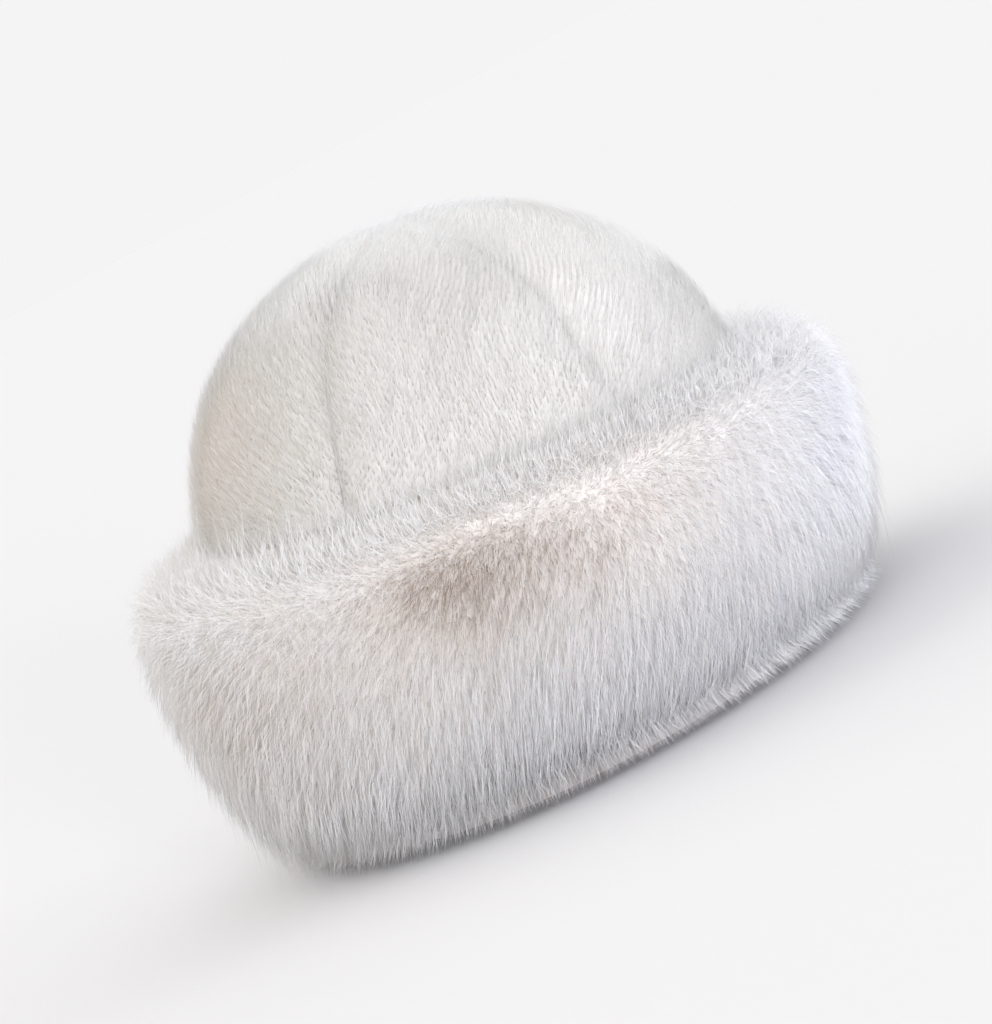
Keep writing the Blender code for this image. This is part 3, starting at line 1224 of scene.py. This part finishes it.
    def fur(self, coat: Coat, grow: Callable[..., Strands]) -> Hairs:
        """Makes one coat of the band's hairs.

        Args:
            coat: The coat.
            grow: The method that gives roots, elbows and tips.

        Returns:
            The hairs.
        """
        chance = np.random.default_rng(self.seed + coat.count)
        azimuth, run = self.scatter(coat.count, 0.0)
        azimuth = azimuth + chance.normal(0, self.root_noise, coat.count)
        root, elbow, tip = grow(azimuth, run, coat, chance)
        around, along = self.bunch_noise
        mid_azimuth, mid_run = self.scatter(coat.bunches, self.bunch_start)
        mid_azimuth = mid_azimuth + chance.normal(0, around, coat.bunches)
        mid_run = np.clip(mid_run + chance.normal(0, along, coat.bunches), 0.0, BAND_RUN)
        mid_root, mid_elbow, mid_tip = grow(mid_azimuth, mid_run, coat, chance)
        bunch = nearest_bunch(root, mid_root)
        stray = chance.random(coat.count) < coat.strays
        pull = np.where(stray, 0.0, coat.pull) * chance.uniform(*self.bunch_pull, coat.bunches)[bunch]
        pull = pull * (1 - self.facing_release * self.near_facing(run / BAND_RUN))
        tip = blend(tip, mid_tip[bunch], pull)
        elbow = blend(elbow, mid_elbow[bunch], pull * self.elbow_pull)
        length = chance.uniform(*coat.length, coat.count)
        length = length * chance.uniform(*self.bunch_length, coat.bunches)[bunch]
        length = length * np.where(stray, self.stray_length, 1.0)
        ragged = self.ragged if coat.root_depth else 0.0
        gap = self.least_gap + ragged * chance.random(coat.bunches)[bunch] ** 2
        gap = gap + self.ragged_single * ragged * chance.random(coat.count)
        length = np.minimum(length, floor_share(root, elbow, tip, gap))
        lines = keep_off_floor(bend_hairs(root, elbow, tip, coat.shape, length), gap)
        noise = self.tone_noise
        # Painted light and shade from the patches, then random unevenness of hairs and bunches.
        tone = painted_light_tone(band_place(azimuth, run, np.zeros(coat.count)), azimuth, self.patches)
        tone += chance.normal(0, noise, coat.count) + chance.normal(0, noise, coat.bunches)[bunch]
        thickness = coat.thickness * chance.uniform(*self.thick_range, coat.count)
        return Hairs(lines, thickness, tone, azimuth)

    def backing_mesh(self) -> bmesh.types.BMesh:
        """The band's backing and its tuck round the crown's edge, spun from its section.

        Returns:
            The closed mesh.
        """
        run = np.linspace(self.backing_start, BAND_RUN, self.section_points)
        cut = 1 - self.shoulder_cut * self.near_facing(run / BAND_RUN)
        out, up = band_section(run, self.backing_depth * cut)
        out, up = np.maximum(out, self.backing_least), np.maximum(up, 0.0)
        section = list(zip(out, up))
        section += [self.tuck_fold, (self.tuck_foot, FORM.floor_gap), (FORM.mouth, FORM.floor_gap)]
        section += [(FORM.mouth, FORM.tuck_height), (0.0, FORM.tuck_height)]
        section += [(0.0, share * up[0]) for share in (0.25, 0.5, 0.75, 1.0)]
        mesh = bmesh.new()
        inner = FORM.head_breadth
        ring = [mesh.verts.new((0.0, -(inner + aside), height)) for aside, height in section]
        edges = [mesh.edges.new(pair) for pair in zip(ring, ring[1:] + ring[:1])]
        bmesh.ops.spin(
            mesh, geom=ring + edges, cent=(0, 0, 0), axis=(0, 0, 1), angle=2 * pi,
            steps=self.spin_steps, use_merge=True,
        )
        spots = np.array([vertex.co for vertex in mesh.verts])
        azimuth = np.arctan2(spots[:, 0], -spots[:, 1])
        aside = np.hypot(spots[:, 0], spots[:, 1]) - inner
        placed = FORM.lean(FORM.plan(azimuth, FORM.band_seat + aside, spots[:, 2], 1.0))
        for vertex, place in zip(mesh.verts, placed):
            vertex.co = place
        return mesh

    def build(self) -> list[bpy.types.Object]:
        """Builds and dresses the backing and its lengths of fur.

        Returns:
            The pieces.
        """
        hair, roots = BAND_HAIR.material(), ROOTS.material()
        grown = ((self.under, self.lie), (self.guard, self.lie), (self.skirt, self.hang))
        coats = [self.fur(coat, grow) for coat, grow in grown]
        pieces = [mesh_object("band_backing", self.backing_mesh(), [roots])]
        wide = 2 * pi / self.lengths
        for length in range(self.lengths):
            low = wide * (length - 0.5)
            parts = [coat.part(low, low + wide) for coat in coats]
            pieces.append(hair_object(f"band_fur_{length + 1}", parts, hair))
        for piece in pieces:
            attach(piece, "root")
            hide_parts("fur_band")
        return pieces


@dataclass
class Studio:
    """A plain pale floor, soft light and the camera at the photo's angle."""

    backdrop: str = "#F4F4F4"
    floor_radius: float = 30.0
    floor_sides: int = 96
    floor_grey: str = "#E2E2E4"
    diffuse_bounces: int = 8
    # Lamps: name, direction from the hat, strength, colour and width in degrees.
    lamps: tuple[tuple[str, tuple[float, float, float], float, str, float], ...] = (
        ("key_light", (0.0, 0.0, 1.0), 0.25, "#FFFDFA", 60),
        ("low_light", (0.25, -0.96, 0.08), 1.60, "#F6F6FF", 9),
        ("warm_fill", (-0.60, 0.45, 0.66), 0.80, "#FFF6EA", 60),
        ("cool_fill", (1.0, -0.30, 0.18), 0.48, "#E4E9FF", 20),
    )
    hat_middle: tuple[float, float, float] = (0.0, 0.0, 0.096)
    distance: float = 1.33
    elevation: float = radians(6.0)
    roll: float = radians(27.4)
    lens: float = 130.2
    sensor: float = 36.0
    pixel: float = 0.359 * MM
    image_width: int = 992
    image_height: int = 1024
    hat_pixel: tuple[float, float] = (477.5, 481.5)

    def floor(self) -> bpy.types.Object:
        """A wide round floor at the height of the hat's rim."""
        mesh = bmesh.new()
        bmesh.ops.create_circle(mesh, cap_ends=True, segments=self.floor_sides, radius=self.floor_radius)
        data = bpy.data.meshes.new("studio_floor")
        mesh.to_mesh(data)
        mesh.free()
        material, _, shader = new_material("paper_floor_matte")
        shader.inputs["Base Color"].default_value = linear(self.floor_grey)
        shader.inputs["Roughness"].default_value = 1.0
        shader.inputs["Specular IOR Level"].default_value = 0.0
        data.materials.append(material)
        return add_object("studio_floor", data)

    def sky(self) -> None:
        """Soft light from all round, as bright as the backdrop."""
        world = bpy.data.worlds.new("studio_light")
        world.use_nodes = True
        world.node_tree.nodes["Background"].inputs["Color"].default_value = linear(self.backdrop)
        bpy.context.scene.world = world

    def sun(
        self, name: str, toward: tuple[float, float, float], strength: float, colour: str, spread: float
    ) -> None:
        """A broad lamp far away.

        Args:
            name: The lamp's name.
            toward: Where the lamp stands, as a direction from the hat.
            strength: Its strength.
            colour: Its colour.
            spread: Its width as an angle in degrees.
        """
        data = bpy.data.lights.new(name, "SUN")
        data.energy = strength
        data.color = linear(colour)[:3]
        data.angle = radians(spread)
        lamp = add_object(name, data)
        lamp.rotation_mode = "QUATERNION"
        lamp.rotation_quaternion = Vector(toward).to_track_quat("Z", "Y")

    def camera(self) -> None:
        """The camera, turned so that the hat leans in the picture as it does in the photo."""
        middle = Vector(self.hat_middle)
        back = Vector((0.0, -cos(self.elevation), sin(self.elevation)))
        place = middle + back * self.distance
        level = Vector((0.0, sin(self.elevation), cos(self.elevation)))
        across = Vector((1.0, 0.0, 0.0))
        up = level * cos(self.roll) + across * sin(self.roll)
        right = across * cos(self.roll) - level * sin(self.roll)
        aside = self.image_width / 2 - self.hat_pixel[0]
        below = self.image_height / 2 - self.hat_pixel[1]
        aim = middle + (right * aside - up * below) * self.pixel
        behind = (place - aim).normalized()
        right = up.cross(behind).normalized()
        up = behind.cross(right)
        data = bpy.data.cameras.new("camera")
        data.lens = self.lens
        data.sensor_width = self.sensor
        made = add_object("camera", data)
        made.matrix_world = Matrix.Translation(place) @ Matrix((right, up, behind)).transposed().to_4x4()
        bpy.context.scene.camera = made

    def build(self) -> None:
        """Sets up the floor, the light and the camera."""
        self.floor()
        self.sky()
        for lamp in self.lamps:
            self.sun(*lamp)
        scene = bpy.context.scene
        scene.cycles.diffuse_bounces = self.diffuse_bounces
        scene.view_settings.view_transform = "Standard"
        self.camera()


def clear_scene() -> None:
    """Removes what a new file holds."""
    for old in list(bpy.data.objects):
        bpy.data.objects.remove(old, do_unlink=True)


def main() -> None:
    """Builds the hat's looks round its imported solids."""
    logging.basicConfig(level=logging.INFO, format="%(message)s")
    clear_scene()
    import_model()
    for part in (Crown(), FurBand()):
        for piece in part.build():
            piece.data.calc_loop_triangles()
            LOG.info("%s: %d triangles", piece.name, len(piece.data.loop_triangles))
    Studio().build()
    bpy.context.view_layer.update()


if __name__ == "__main__":
    main()
